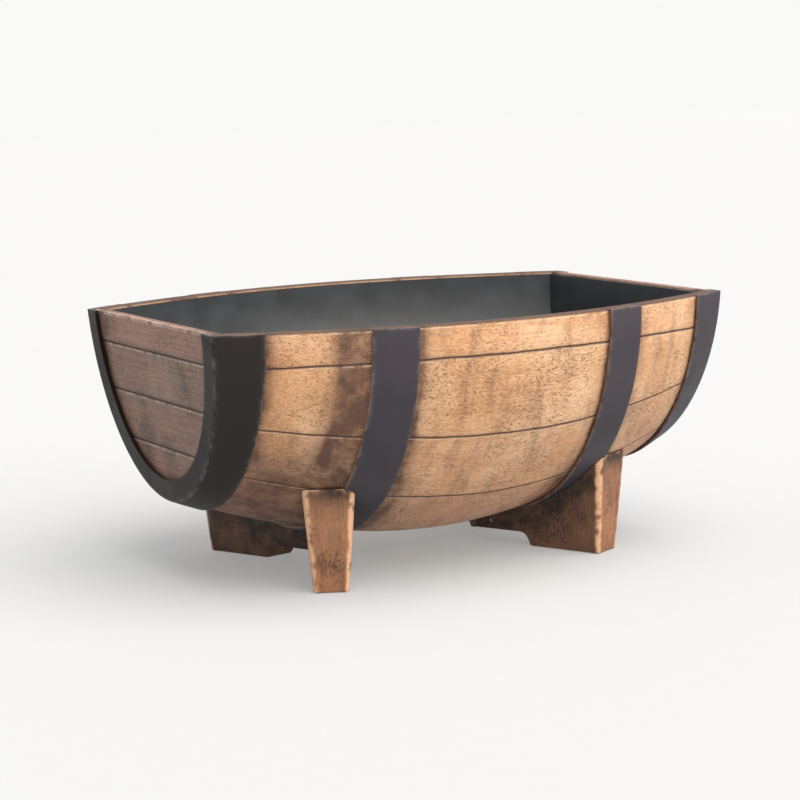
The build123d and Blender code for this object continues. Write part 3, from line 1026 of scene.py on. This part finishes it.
@dataclass
class Cradles:
    """Four drafted legs, two to a cradle, mitred together under the keel and scribed to the barrel."""

    skin: BarrelSkin
    hoops: HoopPlaces
    apex: float = 103 * MM
    splay: float = math.radians(25.2)
    length: float = 149 * MM
    thickness: float = 36 * MM
    draft: float = math.radians(5)
    height: float = 108 * MM
    arris: float = 4.5 * MM
    foot_length: float = 82 * MM
    foot_edge: float = 1.5 * MM
    arch_height: float = 15 * MM
    arch_slope: float = math.radians(20)
    arch_radius: float = 9 * MM
    usual_height: float = 75 * MM
    # How much painted shade lies on the front legs and on the back legs, on all faces but the end face
    front_glaze: float = 0.55
    back_glaze: float = 0.75
    carving: Carving = Carving(
        depth=0.8 * MM, pits=0.7, curls=1.0, grain=Grain.UPRIGHT, curl_length=8 * MM, curl_width=3.2 * MM,
    )

    def sole(self, along: Array) -> Array:
        """Height of the leg's underside at a distance from the mitre."""
        foot = self.length - self.foot_length
        shoulder = foot - self.arch_height * math.tan(self.arch_slope)
        turn = math.pi / 2 - self.arch_slope
        start = shoulder - self.arch_radius * math.tan(turn / 2)
        turns = np.linspace(0, turn, 8)
        line = np.concatenate([[0], start + self.arch_radius * np.sin(turns), [foot, self.length]])
        level = self.arch_height - self.arch_radius * (1 - np.cos(turns))
        return np.interp(along, line, np.concatenate([[self.arch_height], level, [0, 0]]))

    def leg(self, name: str, right: int, back: int, seed: int) -> Object:
        """One leg; right and back are 1 or -1 and give its corner."""
        half = self.thickness / 2
        points, quads = block(
            knots(0, self.length, CARVING_STEP, self.arris),
            knots(-half, half, CARVING_STEP, self.arris),
            knots(0, 1, CARVING_STEP / self.usual_height, 0.03),
        )
        along, across, rise = points.T
        core_along = np.minimum(along, self.length - self.arris)
        core_across = np.clip(across, self.arris - half, half - self.arris)
        away = np.hypot(along - core_along, across - core_across)
        pull = np.where(along > core_along, np.minimum(1, self.arris / np.maximum(away, 1e-9)), 1)
        along = core_along + (along - core_along) * pull
        across = core_across + (across - core_across) * pull

        # The draft moves a point as its level changes, so the level is found in two rounds
        sole = self.sole(along)
        level = sole + rise * 50 * MM
        for _ in range(2):
            x, y = self.plan(along, across, level)
            banded = (x > self.hoops.inner_start) & (x < self.hoops.inner_end)
            top = np.minimum(self.skin.underside(x, y, banded * self.hoops.thickness), self.height)
            level = sole + rise * (top - sole)
        placed = np.stack([right * x, back * y, level], -1)

        sides = np.maximum(np.abs(points[:, 1]) / half, points[:, 0] / self.length) > 0.999
        to_end = self.length - points[:, 0]
        to_side = half - np.abs(points[:, 1])
        from_corner = np.hypot(np.maximum(to_end - 2 * MM, 0), np.maximum(to_side - 2 * MM, 0))
        corner = near(from_corner - 1 * MM, 0.8 * MM)
        end_face = near(to_end, 2 * MM)
        off_arris = 1 - near(np.maximum(to_end, to_side) - self.arris, 1.2 * MM)
        values = {
            "carved": sides * off_arris * np.clip((top - level) / (2 * MM), 0.1, 1),
            # All painted shade: under the barrel's belly at the top of each leg, on the faces but the end
            # face, more on the back legs, and near the mitre under the keel
            "stain_and_shade": np.clip(
                0.9 * near(top - level - 6 * MM, 12 * MM)
                + (self.back_glaze if back > 0 else self.front_glaze) * (1 - end_face)
                + 0.5 * near(points[:, 0], 40 * MM), 0, 1
            ),
            "seam": 0.0,
            # Rubbed pale at the foot's corners, and a pale line along the top of the end face
            "wear_and_highlight": np.maximum(1.9 * corner, 0.9 * near(top - level, 1.8 * MM) * end_face),
            "tone_and_shade": 0.3,
        }
        # A leg that is the mirror image of the back right one has its faces turned round
        piece = make_piece("carved_" + name, placed, quads if right * back > 0 else quads[:, ::-1], values)
        self.carving.press(piece, CRADLE_WOOD.material(), seed)
        return finish_piece(piece, "cradle_wood", name)

    def plan(self, along: Array, across: Array, level: Array) -> tuple[Array, Array]:
        """x and y of a point of the back right leg, drafted, with its mitre on y = 0."""
        half = self.thickness / 2
        edge = np.clip(1 - level / self.foot_edge, 0, 1)
        eased = self.foot_edge * (1 - np.sqrt(1 - edge ** 2))
        out = level * math.tan(self.draft) - eased
        wide = across * (1 + out / half)
        start = -wide * math.tan(self.splay)
        far = start + along / self.length * (self.length - start)
        far = far + out * (along / self.length) ** 8
        x = self.apex + far * math.sin(self.splay) - wide * math.cos(self.splay)
        y = far * math.cos(self.splay) + wide * math.sin(self.splay)
        return x, y

    def build(self) -> None:
        """Makes the four legs."""
        for n, (end, right) in enumerate((("left", -1), ("right", 1))):
            for m, (place, back) in enumerate((("front", -1), ("back", 1))):
                self.leg(f"{place}_{end}_leg", right, back, 61 + 2 * n + m)


def dress_hidden_pieces() -> None:
    """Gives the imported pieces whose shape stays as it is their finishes."""
    finishes = {"liner": LINER_PLASTIC, "hoop_screws": SCREW_STEEL, "leg_screws": SCREW_STEEL}
    for node in ("left_head_dowels", "right_head_dowels", "mitre_dowels"):
        finishes[node] = DOWEL_WOOD
    for node, finish in finishes.items():
        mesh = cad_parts[node].data
        mesh.materials.clear()
        mesh.materials.append(finish.material())
        LOG.info("%s: %s", node, finish.name)


@dataclass
class Studio:
    """Pale floor, broad soft light from above the front and the camera, in metres and radians."""

    camera_place: tuple[float, float, float] = (-1.1752, -2.1488, 0.5287)
    yaw: float = 0.4984
    pitch: float = -0.1480
    roll: float = -0.0290
    lens: float = 103.06
    shift: tuple[float, float] = (-0.0030, 0.0017)
    floor_size: float = 30.0
    floor_colour: str = "#84878B"
    backdrop: str = "#F9F9F8"
    ambient: float = 0.62
    sun_strength: float = 6.3
    floor_fill: float = 5.0
    sun_softness: float = math.radians(75)
    sun_from: tuple[float, float, float] = (0.26, -0.62, 1.0)

    def floor(self) -> Object:
        """Pale matt floor that the feet stand on."""
        half = self.floor_size / 2
        corners = np.array([[-half, -half, 0], [half, -half, 0], [half, half, 0], [-half, half, 0]])
        piece = make_piece("studio_floor", corners - np.array([0, 0, 0.1 * MM]), [(0, 1, 2, 3)], {})
        paper = PlainFinish("pale_paper", self.floor_colour, self.floor_colour, (0.85, 0.9))
        piece.data.materials.append(paper.material())
        return piece

    def sun(self, name: str, strength: float, towards: tuple[float, float, float]) -> Object:
        """Broad soft light that shines from a direction."""
        light = bpy.data.lights.new(name, "SUN")
        light.energy = strength
        light.angle = self.sun_softness
        light.color = linear("#FFF8EE")[:3]
        holder = bpy.data.objects.new(name, light)
        holder.rotation_euler = (-Vector(towards)).to_track_quat("-Z", "Y").to_euler()
        bpy.context.scene.collection.objects.link(holder)
        return holder

    def lights(self, floor: Object) -> None:
        """Key light from above the front, and a fill that lifts the shadow on the floor alone."""
        self.sun("key_light", self.sun_strength, self.sun_from)
        fill = self.sun("floor_fill", self.floor_fill, (0, 0, 1))
        fill.data.use_shadow = False
        lit = bpy.data.collections.new("lit_by_floor_fill")
        lit.objects.link(floor)
        fill.light_linking.receiver_collection = lit

    def camera(self) -> None:
        """Camera at the photograph's viewing angle."""
        ahead = Vector((
            math.sin(self.yaw) * math.cos(self.pitch), math.cos(self.yaw) * math.cos(self.pitch),
            math.sin(self.pitch),
        ))
        level = Vector((math.cos(self.yaw), -math.sin(self.yaw), 0))
        upright = level.cross(ahead)
        right = level * math.cos(self.roll) + upright * math.sin(self.roll)
        up = upright * math.cos(self.roll) - level * math.sin(self.roll)
        data = bpy.data.cameras.new("camera")
        data.lens = self.lens
        data.sensor_width = 36
        data.shift_x, data.shift_y = self.shift
        holder = bpy.data.objects.new("camera", data)
        turned = Matrix((right, up, -ahead)).transposed().to_4x4()
        holder.matrix_world = Matrix.Translation(self.camera_place) @ turned
        bpy.context.scene.collection.objects.link(holder)
        bpy.context.scene.camera = holder

    def build(self) -> None:
        """Sets everything up."""
        world = bpy.data.worlds.new("studio")
        world.use_nodes = True
        tree = world.node_tree
        tree.nodes.clear()
        ambient = add(tree, "ShaderNodeBackground", {"Color": linear("#F6F8FF"), "Strength": self.ambient})
        backdrop = add(tree, "ShaderNodeBackground", {"Color": linear(self.backdrop), "Strength": 1.0})
        seen = add(tree, "ShaderNodeLightPath").outputs["Is Camera Ray"]
        mixed = add(tree, "ShaderNodeMixShader", {0: seen, 1: ambient, 2: backdrop})
        add(tree, "ShaderNodeOutputWorld", {"Surface": mixed})
        bpy.context.scene.world = world
        bpy.context.scene.view_settings.view_transform = "Standard"
        self.lights(self.floor())
        self.camera()


def main() -> None:
    """Builds the planter in order, and its studio."""
    logging.basicConfig(level=logging.INFO, format="%(message)s")
    inner_low, inner_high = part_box("right_inner_hoop")
    end_low, end_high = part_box("right_end_hoop")
    keel_low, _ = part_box("keel_stave")
    _, rim_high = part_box("rim_stave_back")
    skin = BarrelSkin(end_high.x, rim_high.y, rim_high.z - keel_low.z, rim_high.z)
    hoops = HoopPlaces(inner_low.x, inner_high.x, end_low.x)
    StaveWall(skin, hoops).build()
    Heads(skin, hoops).build()
    Hoops(skin, hoops).build()
    Cradles(skin, hoops).build()
    dress_hidden_pieces()
    Studio().build()


if __name__ == "__main__":
    main()
